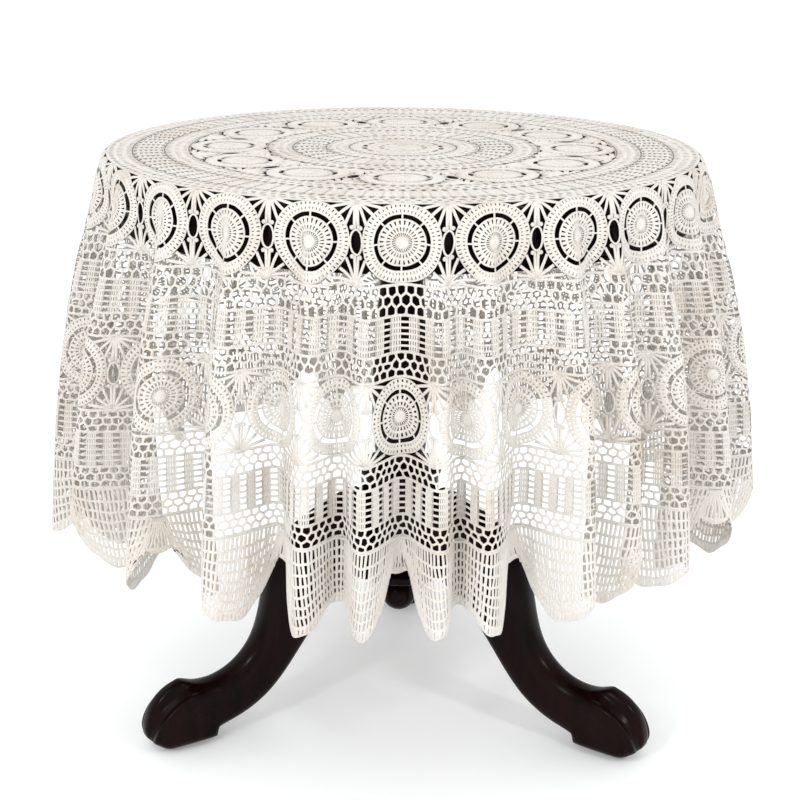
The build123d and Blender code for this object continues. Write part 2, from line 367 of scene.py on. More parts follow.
# ------------------------------------------------------------------ the drape
@dataclass
class Drape:
    """The surface that the flat cloth takes when it hangs over the table.

    A point of the flat cloth is given by its distance from the centre and its angle. The top part lies
    flat, turns over the edge, and below the drum the spare width stands in folds.
    """

    rim: float = 0.378              # radius at which the cloth turns down
    top: float = 0.7588             # level of the cloth's middle on the table
    bend: float = 0.010             # radius of the turn over the edge
    hem: float = 0.870              # flat radius out to the points of the hem
    flare: float = 0.046            # how far out the middle of the folds hangs at the hem
    flare_drop: float = 0.16        # how far down the flare takes to open
    drum_low: float = 0.681         # the folds stay outside the drum above this level
    rounds: int = 88
    spokes: int = 720
    thread: float = 0.0013
    ridges: tuple[float, ...] = (
        -5.4, 6.1, 12.6, 28.6, 38.0, 49.0, 61.5, 79.0, 95.0, 108.0, 122.0, 134.0, 149.0, 161.0, 176.0,
        189.0, 203.0, 215.0, 230.0, 243.0, 257.0, 272.0, 286.0, 301.0, 317.5, 332.0, 346.1,
    )
    levels: np.ndarray = field(init=False)
    points: np.ndarray = field(init=False)

    def __post_init__(self) -> None:
        """Sets the rounds: a few on the flat top, and even ones down the skirt."""
        flat = np.linspace(0.0, self.rim - self.bend, 16)
        turn = np.linspace(self.rim - self.bend, self.rim + 0.01, 6)[1:]
        skirt = np.linspace(self.rim + 0.01, self.hem + 0.004, self.rounds - 20)[1:]
        self.levels = np.concatenate([flat, turn, skirt])
        self.points = self.shape()

    @staticmethod
    def wave_size(stretch: np.ndarray) -> np.ndarray:
        """The height of a sine wave, as a share of its length, whose curve is `stretch` times its length.

        Args:
            stretch: Curve length over wave length, 1 or more.

        Returns:
            Amplitude over wave length.
        """
        sizes = np.linspace(0.0, 0.9, 181)
        phase = np.linspace(0.0, math.tau, 241)
        lengths = np.sqrt(1 + (math.tau * sizes[:, None] * np.sin(phase)[None]) ** 2).mean(1)
        return np.interp(stretch, lengths, sizes)

    def shape(self) -> np.ndarray:
        """Works out the hanging surface with folds that keep the cloth's own width at each level.

        Returns:
            Points by level and angle.
        """
        ridges = np.radians(np.array(self.ridges))
        ring = np.concatenate([ridges, [ridges[0] + math.tau]])
        valleys = (ring[1:] + ring[:-1]) / 2
        turns = np.ravel(np.column_stack([ridges, valleys]))
        signs = np.tile([1.0, -1.0], len(ridges))
        wide = np.concatenate([turns[-1:] - math.tau, turns, turns[:1] + math.tau])
        widths = wide[2:] - wide[:-2]
        shares = np.linspace(0.0, 1.0, 33)
        surface = np.zeros((len(self.levels), self.spokes, 3))
        angles = turns[0] + np.arange(self.spokes) / self.spokes * math.tau
        height = self.top
        last = self.rim - self.bend
        last_ridge = self.rim
        for row, level in enumerate(self.levels):
            if level <= self.rim - self.bend:
                surface[row, :, 0] = level * np.sin(angles)
                surface[row, :, 1] = -level * np.cos(angles)
                surface[row, :, 2] = self.top
                continue
            arc = (level - (self.rim - self.bend)) / self.bend
            if arc < math.pi / 2:
                base = self.rim - self.bend + self.bend * math.sin(arc)
                height = self.top - self.bend * (1 - math.cos(arc))
                last = level
                surface[row, :, 0] = base * np.sin(angles)
                surface[row, :, 1] = -base * np.cos(angles)
                surface[row, :, 2] = height
                continue
            drop = max(0.0, level - self.rim)
            middle = self.rim + self.flare * (1 - math.exp(-((drop / self.flare_drop) ** 1.6)))
            ease = min(1.0, drop / 0.025)
            size = float(self.wave_size(np.array([1 + (level / middle - 1) * ease]))[0]) * middle
            offsets = signs * size * widths
            hold = self.rim * min(1.0, max(0.0, (height - self.drum_low) / 0.02 + 1.0))
            place = np.zeros(0)
            bent = np.zeros(0)
            for index, start in enumerate(turns):
                end = turns[index + 1] if index + 1 < len(turns) else turns[0] + math.tau
                after = offsets[(index + 1) % len(turns)]
                mix = (1 - np.cos(math.pi * shares)) / 2
                radius = np.maximum(middle + offsets[index] * (1 - mix) + after * mix, hold)
                azimuth = start + (end - start) * shares
                x, y = radius * np.sin(azimuth), -radius * np.cos(azimuth)
                steps = np.hypot(np.diff(x), np.diff(y))
                length = np.concatenate([[0.0], np.cumsum(steps)])
                material = start + (end - start) * length / length[-1]
                place = np.concatenate([place, material[:-1]])
                bent = np.concatenate([bent, radius[:-1], azimuth[:-1]])
            bent = bent.reshape(len(turns), 2, -1)
            radius_all = bent[:, 0].ravel()
            azimuth_all = bent[:, 1].ravel()
            radius_here = np.interp(angles, place, radius_all, period=math.tau)
            swing = np.interp(angles, place, azimuth_all - place, period=math.tau)
            ridge = middle + size * float(widths.mean())
            lean = min(0.9, 0.6 * (ridge - last_ridge) / (level - last))
            height -= (level - last) * math.sqrt(1 - lean ** 2)
            last, last_ridge = level, ridge
            surface[row, :, 0] = radius_here * np.sin(angles + swing)
            surface[row, :, 1] = -radius_here * np.cos(angles + swing)
            surface[row, :, 2] = height
        return surface

    def grid(self, first: int, step: int) -> bpy.types.Object:
        """Makes the skirt as a closed mesh of even squares, with the flat cloth as its rest shape.

        Args:
            first: The first level of the mesh.
            step: How many angles each square spans.

        Returns:
            The mesh, whose "place" attribute holds each point's level and angle.
        """
        rows = len(self.levels) - first
        columns = self.spokes // step
        bm = bmesh.new()
        bmesh.ops.create_grid(bm, x_segments=columns, y_segments=rows - 1, size=0.5)
        mark = bm.verts.layers.int.new("place")
        for vert in bm.verts:
            column = round((vert.co.x + 0.5) * columns) % columns
            row = first + round((vert.co.y + 0.5) * (rows - 1))
            vert[mark] = row * self.spokes + column * step
            vert.co = self.points[row, column * step]
        bmesh.ops.remove_doubles(bm, verts=bm.verts[:], dist=1e-6)
        return new_object("settling_cloth", bm)

    def settle(self, frames: int = 16, most: float = 0.006) -> None:
        """Lets the skirt hang under its own weight with a cloth simulation, and keeps the result.

        Args:
            frames: How many steps the cloth hangs for.
            most: The furthest a point may settle, so that the carved folds keep their places.
        """
        first = int(np.searchsorted(self.levels, self.rim - 2 * self.bend))
        step = 2
        cloth = self.grid(first, step)
        count = len(cloth.data.vertices)
        marks = np.zeros(count, dtype=np.int32)
        cloth.data.attributes["place"].data.foreach_get("value", marks)
        rows, columns = marks // self.spokes, marks % self.spokes
        start = math.radians(self.ridges[0])
        angle = start + columns / self.spokes * math.tau
        cloth.shape_key_add(name="Basis")
        rest = cloth.shape_key_add(name="flat")
        level = self.levels[rows]
        flat = np.column_stack([level * np.sin(angle), -level * np.cos(angle), np.full(count, self.top)])
        rest.data.foreach_set("co", flat.astype(np.float32).ravel())
        rest.value = 0.0
        pins = cloth.vertex_groups.new(name="pins")
        held = np.nonzero(level <= self.rim + 0.006)[0]
        pins.add([int(i) for i in held], 1.0, "REPLACE")
        bm = bmesh.new()
        low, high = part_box("drum_bead")[0].z, self.top - self.thread
        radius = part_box("table_top")[1].x
        depth = high - low
        bmesh.ops.create_cone(bm, cap_ends=True, segments=128, radius1=radius, radius2=radius, depth=depth)
        bmesh.ops.translate(bm, vec=(0, 0, (high + low) / 2), verts=bm.verts[:])
        drum = new_object("settling_drum", bm, smooth=False)
        drum.modifiers.new("Collision", "COLLISION")
        drum.collision.thickness_outer = 0.0015
        modifier = cloth.modifiers.new("Cloth", "CLOTH")
        settings = modifier.settings
        settings.quality = 7
        settings.mass = 0.06
        settings.tension_stiffness = settings.compression_stiffness = 30.0
        settings.shear_stiffness = 6.0
        settings.bending_stiffness = 0.35
        settings.air_damping = 2.5
        settings.tension_damping = settings.compression_damping = 12.0
        settings.vertex_group_mass = "pins"
        settings.rest_shape_key = rest
        modifier.collision_settings.distance_min = 0.0015
        modifier.collision_settings.use_self_collision = False
        modifier.point_cache.frame_start = 1
        modifier.point_cache.frame_end = frames
        scene = bpy.context.scene
        for number in range(1, frames + 1):
            scene.frame_set(number)
        graph = bpy.context.evaluated_depsgraph_get()
        hung = cloth.evaluated_get(graph).to_mesh()
        spots = np.zeros(count * 3, dtype=np.float32)
        hung.vertices.foreach_get("co", spots)
        shaped = self.points[rows, columns]
        moved = spots.reshape(-1, 3) - shaped
        far = np.linalg.norm(moved, axis=1, keepdims=True)
        spots = shaped + moved / np.maximum(far, 1e-9) * most * np.tanh(far / most)
        for thing in (cloth, drum):
            bpy.data.objects.remove(thing)
        scene.frame_set(1)
        coarse = self.points[:, ::step].copy()
        coarse[rows, columns // step] = spots
        after = np.roll(coarse, -1, axis=1)
        before, later = np.roll(coarse, 1, axis=1), np.roll(coarse, -2, axis=1)
        self.points[:, ::step] = coarse
        self.points[:, 1::step] = (9 * (coarse + after) - before - later) / 16
        LOG.info("cloth settled over %d points", count)

    def place(self, flat: np.ndarray) -> tuple[np.ndarray, np.ndarray]:
        """Carries flat points of the cloth to the draped surface.

        Args:
            flat: Points of the flat cloth, with their height above it.

        Returns:
            The draped points, and the surface's normals there.
        """
        distance = np.hypot(flat[:, 0], flat[:, 1])
        angle = np.arctan2(flat[:, 0], -flat[:, 1])
        start = math.radians(self.ridges[0])
        column = ((angle - start) % math.tau) / math.tau * self.spokes
        row = np.interp(distance, self.levels, np.arange(len(self.levels)))
        spot = self.sample(row, column)
        along = self.sample(np.clip(row + 0.3, 0, len(self.levels) - 1), column) - self.sample(
            np.clip(row - 0.3, 0, len(self.levels) - 1), column)
        round_ = self.sample(row, column + 0.4) - self.sample(row, column - 0.4)
        normal = np.cross(along, round_)
        normal *= 1 / np.maximum(np.linalg.norm(normal, axis=1), 1e-12)[:, None]
        normal[distance < 0.02] = (0, 0, 1)
        return spot + normal * flat[:, 2:3], normal

    def sample(self, row: np.ndarray, column: np.ndarray) -> np.ndarray:
        """Reads the surface between its points with a smooth curve both ways.

        Args:
            row: Fractional level index.
            column: Fractional angle index, wrapping round.

        Returns:
            Points on the surface.
        """
        top = len(self.levels) - 1
        i = np.clip(np.floor(row).astype(int), 0, top - 1)
        j = np.floor(column).astype(int)
        u, v = (row - i)[:, None], (column - j)[:, None]

        def weights(t: np.ndarray) -> list[np.ndarray]:
            """Catmull-Rom weights of the four neighbours."""
            return [
                -0.5 * t + t ** 2 - 0.5 * t ** 3,
                1 - 2.5 * t ** 2 + 1.5 * t ** 3,
                0.5 * t + 2 * t ** 2 - 1.5 * t ** 3,
                -0.5 * t ** 2 + 0.5 * t ** 3,
            ]

        wu, wv = weights(u), weights(v)
        result = np.zeros((len(i), 3))
        for a in range(4):
            ia = np.clip(i + a - 1, 0, top)
            for b in range(4):
                result += wu[a] * wv[b] * self.points[ia, (j + b - 1) % self.spokes]
        return result


# ------------------------------------------------------------------ the lace, worked flat
@dataclass
class LaceRound:
    """One worked round of the cloth, from an inner to an outer radius of the flat cloth."""

    name: str
    inner: float
    outer: float
    node: str
    thread: float = 0.00135         # half the width of a thread
    thickness: float = 0.0021
    edge_share: float = 0.42        # thickness at the rim of each hole, as a share of the thread's

    def work(self) -> bmesh.types.BMesh:
        """Works the round flat, centred on the origin.

        Returns:
            The flat mesh with its holes open.
        """
        raise NotImplementedError

    @staticmethod
    def chain(bm: bmesh.types.BMesh, radius: float, width: float, stitches: int) -> None:
        """Adds a closed chain of stitches as a flat ring.

        Args:
            bm: The mesh to add to.
            radius: The middle of the chain.
            width: The chain's width.
            stitches: How many straight pieces it has.
        """
        made = bmesh.ops.create_circle(bm, cap_ends=False, radius=radius - width / 2, segments=stitches)
        edges = list({e for v in made["verts"] for e in v.link_edges})
        grown = bmesh.ops.extrude_edge_only(bm, edges=edges)
        ring = [g for g in grown["geom"] if isinstance(g, bmesh.types.BMVert)]
        factor = (radius + width / 2) / (radius - width / 2)
        bmesh.ops.scale(bm, vec=(factor, factor, 1), verts=ring)

    def dress(self, drape: Drape, material: bpy.types.Material) -> bpy.types.Object:
        """Makes the finished draped piece.

        Args:
            drape: The hanging surface.
            material: The cotton.

        Returns:
            The lace as an object that rides on the cloth and stands for its node.
        """
        bm = self.work()
        for face in bm.faces:
            face.normal_update()
            if face.normal.z < 0:
                face.normal_flip()
        area = sum(f.calc_area() for f in bm.faces)
        rim = [v.is_boundary for v in bm.verts]
        uv = bm.loops.layers.uv.new("flat")
        for face in bm.faces:
            for loop in face.loops:
                loop[uv].uv = loop.vert.co.xy
        flat = np.array([v.co[:] for v in bm.verts])
        draped, normal = drape.place(flat)
        for vert, spot in zip(bm.verts, draped):
            vert.co = spot
        piece = new_object(self.name, bm)
        cord = piece.vertex_groups.new(name="thread")
        edge_points = [i for i, at_rim in enumerate(rim) if at_rim]
        body_points = [i for i, at_rim in enumerate(rim) if not at_rim]
        cord.add(body_points, 1.0, "REPLACE")
        cord.add(edge_points, self.edge_share, "REPLACE")
        wall = piece.modifiers.new("thread", "SOLIDIFY")
        wall.thickness = self.thickness
        wall.offset = 0.0
        wall.vertex_group = "thread"
        wall.thickness_vertex_group = 0.0
        apply_modifiers(piece)
        piece.data.materials.clear()
        piece.data.materials.append(material)
        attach(piece, CLOTH_BODY)
        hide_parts(self.node)
        return piece

    def flat_size(self) -> tuple[float, float]:
        """Gives the width and length of the round laid flat.

        Returns:
            The strip's width and its middle length, or the disc's two diameters.
        """
        if self.inner == 0:
            return 2 * self.outer, 2 * self.outer
        return self.outer - self.inner, math.pi * (self.outer + self.inner)


def wrap_strip(bm: bmesh.types.BMesh, repeats: int) -> None:
    """Bends a strip, one repeat wide along X, to its place round the centre.

    Args:
        bm: The strip: X is a share of a repeat, Y the distance from the centre.
        repeats: How many repeats go round.
    """
    for vert in bm.verts:
        turn = vert.co.x / repeats * math.tau
        radius = vert.co.y
        vert.co = (radius * math.sin(turn), -radius * math.cos(turn), vert.co.z)


@dataclass
class NetRound(LaceRound):
    """Rows of open chain loops, which pull into six-sided meshes."""

    rows: int = 3
    meshes: int = 100
    point: float = 0.17             # how far a mesh's point stands into the next row
    loose: float = 0.0008

    def work(self) -> bmesh.types.BMesh:
        """Works the rows of meshes between two chains."""
        bm = bmesh.new()
        height = (self.outer - self.inner) / self.rows
        for row in range(self.rows):
            made = bmesh.ops.create_circle(bm, cap_ends=True, radius=1.0, segments=6)
            shift = 0.5 * (row % 2)
            middle = self.inner + (row + 0.5) * height
            for vert in made["verts"]:
                side = round(vert.co.x / math.cos(math.radians(30)))
                rise = 0.5 - self.point if side else 0.5 + self.point
                up = math.copysign(rise, vert.co.y)
                vert.co = (0.5 * side + shift, middle + up * height, 0)
        wrap_strip(bm, self.meshes)
        spin_copies(bm, self.meshes)
        bmesh.ops.remove_doubles(bm, verts=bm.verts[:], dist=0.0004)
        loosen(bm, self.loose, self.meshes)
        open_holes(bm, bm.faces[:], self.thread)
        self.chain(bm, self.inner, CHAIN_WIDTH, self.meshes * 2)
        self.chain(bm, self.outer, CHAIN_WIDTH, self.meshes * 2)
        return bm


@dataclass
class FiletRound(LaceRound):
    """Upright ladders of open squares between close blocks of small squares."""

    rows: int = 6
    ladders: int = 100
    columns: int = 4
    ladder_share: float = 0.44
    close_thread: float = 0.00105

    def work(self) -> bmesh.types.BMesh:
        """Works one ladder and its block, and repeats it round."""
        bm = bmesh.new()
        bmesh.ops.create_grid(bm, x_segments=self.columns + 1, y_segments=self.rows, size=0.5)
        block = (1 - self.ladder_share) / self.columns
        height = self.outer - self.inner
        for vert in bm.verts:
            column = round((vert.co.x + 0.5) * (self.columns + 1))
            across = 0.0 if column == 0 else self.ladder_share + (column - 1) * block
            vert.co = (across, self.inner + (vert.co.y + 0.5) * height, 0)
        wrap_strip(bm, self.ladders)
        pitch = math.pi * (self.inner + self.outer) / self.ladders
        wide = [f for f in bm.faces if f.calc_area() > 0.8 * pitch * self.ladder_share * height / self.rows]
        close = [f for f in bm.faces if f not in wide]
        open_holes(bm, wide, self.thread * 0.9)
        open_holes(bm, close, self.close_thread)
        spin_copies(bm, self.ladders)
        bmesh.ops.remove_doubles(bm, verts=bm.verts[:], dist=0.0002)
        return bm


@dataclass(frozen=True)
class WheelStep:
    """One step outwards in a wheel: where it ends, how many stitches each hole spans, and its thread."""

    end: float
    span: int
    thread: float


MEDALLION: tuple[WheelStep, ...] = (
    WheelStep(0.26, 1, 0.0006),
    WheelStep(0.41, 1, 0.0011),
    WheelStep(0.59, 1, 0.0017),
)
WHEEL_RIM: tuple[WheelStep, ...] = (
    WheelStep(0.725, 0, 0.0009),
    WheelStep(0.85, 1, 0.0015),
    WheelStep(1.0, 1, 0.0017),
)
ARCS = 8                            # long holes in a wheel's open round, where a step's span is 0


def work_wheel(bm: bmesh.types.BMesh, radius: float, stitches: int, steps: tuple[WheelStep, ...],
               core: float, filled: bool = True) -> None:
    """Works a wheel at the origin: a core, then round after round of stitches with holes between.

    Args:
        bm: The mesh to add to.
        radius: The wheel's outer radius.
        stitches: How many stitches a round has.
        steps: The rounds outside the core.
        core: The core's radius as a share of the wheel's.
        filled: Whether the core is closed.
    """
    inside = core * radius
    made = bmesh.ops.create_circle(bm, cap_ends=filled, cap_tris=False, radius=inside, segments=stitches)
    ring = made["verts"]
    here = core
    for count, step in enumerate(steps):
        edges = list({e for v in ring for e in v.link_edges if all(o in ring for o in e.verts)})
        before = set(bm.faces)
        grown = bmesh.ops.extrude_edge_only(bm, edges=edges)
        ring = [g for g in grown["geom"] if isinstance(g, bmesh.types.BMVert)]
        bmesh.ops.scale(bm, vec=(step.end / here, step.end / here, 1), verts=ring)
        here = step.end
        cells = [f for f in bm.faces if f not in before]
        span = step.span or stitches // ARCS
        if span > 1:
            shift = (count % 2) * span // 2
            joins = []
            for cell in cells:
                for edge in cell.edges:
                    if edge.calc_length() < 1e-9 or len(edge.link_faces) < 2:
                        continue
                    a, b = (v.co.xy for v in edge.verts)
                    if abs(a.normalized().dot(b.normalized()) - 1) > 1e-6:
                        continue
                    index = round(math.atan2(a.y, a.x) / math.tau * stitches) - shift
                    if index % span:
                        joins.append(edge)
            bmesh.ops.dissolve_edges(bm, edges=list(set(joins)), use_verts=False)
            cells = [f for f in bm.faces if f not in before]
        open_holes(bm, cells, step.thread)
        ring = [v for v in ring if v.is_valid]


@dataclass
class WheelRound(LaceRound):
    """A round of wheels, side by side."""

    wheels: int = 24
    radius: float = 0.045
    stitches: int = 56
    widen: float = 1.045            # the wheels are a little wider round the cloth than they are high
    turned: float = 0.0             # share of a repeat that the round is turned by

    def work(self) -> bmesh.types.BMesh:
        """Works one wheel and repeats it round."""
        bm = bmesh.new()
        work_wheel(bm, self.radius, self.stitches // 2, MEDALLION, 0.14)
        work_wheel(bm, self.radius, self.stitches, WHEEL_RIM, 0.575, filled=False)
        bmesh.ops.scale(bm, vec=(self.widen, 1, 1), verts=bm.verts[:])
        bmesh.ops.translate(bm, vec=(0, -(self.inner + self.outer) / 2, 0), verts=bm.verts[:])
        turn = Matrix.Rotation(math.tau * self.turned / self.wheels, 3, "Z")
        bmesh.ops.rotate(bm, cent=(0, 0, 0), matrix=turn, verts=bm.verts[:])
        spin_copies(bm, self.wheels)
        return bm


@dataclass
class JoinRound(WheelRound):
    """The small ovals between the wheels, with a fan of bars above and below each of them."""

    def gap(self) -> float:
        """The clear width between two wheels."""
        return math.pi * (self.inner + self.outer) / self.wheels - 2 * self.radius * self.widen

    def flat_size(self) -> tuple[float, float]:
        """Gives the width of the round, and the length of the joins laid side by side."""
        return self.outer - self.inner, self.wheels * (self.gap() + 0.6 * self.radius)

    def work(self) -> bmesh.types.BMesh:
        """Works one oval with its two fans, and repeats them round."""
        bm = bmesh.new()
        half = self.gap() / 2 + 0.0006
        oval_height = self.radius * 0.33
        made = bmesh.ops.create_circle(bm, cap_ends=True, radius=1.0, segments=16)
        bmesh.ops.scale(bm, vec=(half, oval_height, 1), verts=made["verts"])
        open_holes(bm, bm.faces[:], min(half * 0.6, 0.0021))
        reach = (self.outer - self.inner) / 2
        spread = self.gap() / 2 + self.radius * self.widen
        for side in (-1, 1):
            apex = Vector((0, side * reach))
            knot = bmesh.ops.create_circle(bm, cap_ends=True, radius=1.0, segments=12)
            bmesh.ops.scale(bm, vec=(0.0080, 0.0058, 1), verts=knot["verts"])
            bmesh.ops.translate(bm, vec=(0, apex.y - side * 0.0012, 0), verts=knot["verts"])
            for hand in (-1, 1):
                ends = [Vector((hand * 0.0022, side * oval_height * 0.98))]
                for turn in (24, 42, 60):
                    ends.append(Vector((
                        hand * (spread - self.radius * self.widen * 0.98 * math.cos(math.radians(turn))),
                        side * self.radius * 0.98 * math.sin(math.radians(turn)),
                    )))
                for end in ends:
                    self.bar(bm, apex + Vector((hand * 0.001, 0)), end)
                picot = bmesh.ops.create_circle(bm, cap_ends=True, radius=0.0026, segments=8)
                spot = (hand * half * 0.6, side * (oval_height + 0.001), 0)
                bmesh.ops.translate(bm, vec=spot, verts=picot["verts"])
        bmesh.ops.translate(bm, vec=(0, -(self.inner + self.outer) / 2, 0), verts=bm.verts[:])
        turn = Matrix.Rotation(math.tau * (0.5 + self.turned) / self.wheels, 3, "Z")
        bmesh.ops.rotate(bm, cent=(0, 0, 0), matrix=turn, verts=bm.verts[:])
        spin_copies(bm, self.wheels)
        return bm

    def bar(self, bm: bmesh.types.BMesh, start: Vector, end: Vector) -> None:
        """Adds one bar of thread between two points.

        Args:
            bm: The mesh to add to.
            start: Where it begins.
            end: Where it ends.
        """
        made = bmesh.ops.create_grid(bm, x_segments=3, y_segments=2, size=0.5)
        line = end - start
        across = Vector((-line.y, line.x)).normalized() * self.thread * 2.5
        for vert in made["verts"]:
            spot = start + line * (vert.co.x + 0.5) + across * vert.co.y
            vert.co = (spot.x, spot.y, 0)


@dataclass
class Rosette(LaceRound):
    """The wheel at the centre of the cloth."""

    stitches: int = 96

    def work(self) -> bmesh.types.BMesh:
        """Works the centre wheel."""
        steps = (
            WheelStep(0.16, 4, 0.0006),
            WheelStep(0.26, 3, 0.0006),
            WheelStep(0.36, 2, 0.0006),
            WheelStep(0.48, 6, 0.0009),
            WheelStep(0.58, 1, 0.0006),
            WheelStep(0.68, 1, 0.0006),
            WheelStep(0.80, 6, 0.0009),
            WheelStep(0.90, 1, 0.0007),
            WheelStep(1.0, 1, 0.0007),
        )
        bm = bmesh.new()
        work_wheel(bm, self.outer, self.stitches, steps, 0.09)
        return bm


@dataclass
class ScallopRound(LaceRound):
    """The border: open mesh that runs down into wide two-tipped tongues, with a fan in each corner."""

    tongues: int = 18
    columns: int = 56
    rows: int = 8
    corner: float = 0.36            # depth of the corners, as a share of the depth of the tips
    fan: float = 0.11               # half the width of a fan's outer edge, as a share of a repeat
    foot: float = 0.03              # half the width of its foot
    tip: float = 0.28               # how far a tip stands from its corner, as a share of a repeat
    dip: float = 0.24               # depth of the shallow bay between a tongue's two tips

    def work(self) -> bmesh.types.BMesh:
        """Works one fan with half a tongue on each side of it, and repeats it."""
        bm = bmesh.new()
        bmesh.ops.create_grid(bm, x_segments=self.columns, y_segments=self.rows, size=0.5)
        fan_cells = [f for f in bm.faces if abs(f.calc_center_median().x) < self.fan]
        ribs = {
            e for f in fan_cells for e in f.edges
            if abs(e.verts[0].co.y - e.verts[1].co.y) < 1e-6 and -0.3 < e.verts[0].co.y < 0.3
            and all(abs(g.calc_center_median().x) < self.fan for g in e.link_faces)
        }
        reach = self.outer - self.inner
        for vert in bm.verts:
            across, down = vert.co.x, vert.co.y + 0.5
            column = round((across + 0.5) * self.columns)
            aside = abs(across)
            edge = self.foot + (self.fan - self.foot) * min(1.0, down * 1.1)
            if aside < self.fan:
                moved = aside / self.fan * edge
            else:
                moved = edge + (aside - self.fan) / (0.5 - self.fan) * (0.5 - edge)
            rise = min(1.0, max(0.0, (aside - 0.5 * self.fan) / (self.tip - 0.5 * self.fan)))
            depth = self.corner + (0.97 - self.corner) * (1 - (1 - rise) ** 1.9)
            depth += 0.05 * math.cos(math.pi / 2 * min(1.0, aside / self.fan))
            bay = max(0.0, (aside - self.tip) / (0.5 - self.tip))
            depth -= self.dip * (1 - math.cos(math.pi * bay)) / 2
            if down > 0.99:
                depth += 0.016 * math.cos(math.tau * column / 7)
            vert.co = (math.copysign(moved, across), self.inner + reach * depth * down ** 0.88, 0)
        bmesh.ops.dissolve_edges(bm, edges=list(ribs), use_verts=False)
        wrap_strip(bm, self.tongues)
        spin_copies(bm, self.tongues)
        bmesh.ops.remove_doubles(bm, verts=bm.verts[:], dist=0.0003)
        edging = [f for f in bm.faces if any(v.is_boundary for v in f.verts)]
        edging = [f for f in edging if f.calc_center_median().length > self.inner + 0.25 * reach]
        inside = [f for f in bm.faces if f not in set(edging)]
        loosen(bm, 0.0005, self.tongues)
        open_holes(bm, inside, self.thread, guarded=True)
        open_holes(bm, edging, self.thread * 1.5, guarded=True)
        self.chain(bm, self.inner, CHAIN_WIDTH, self.tongues * 16)
        return bm


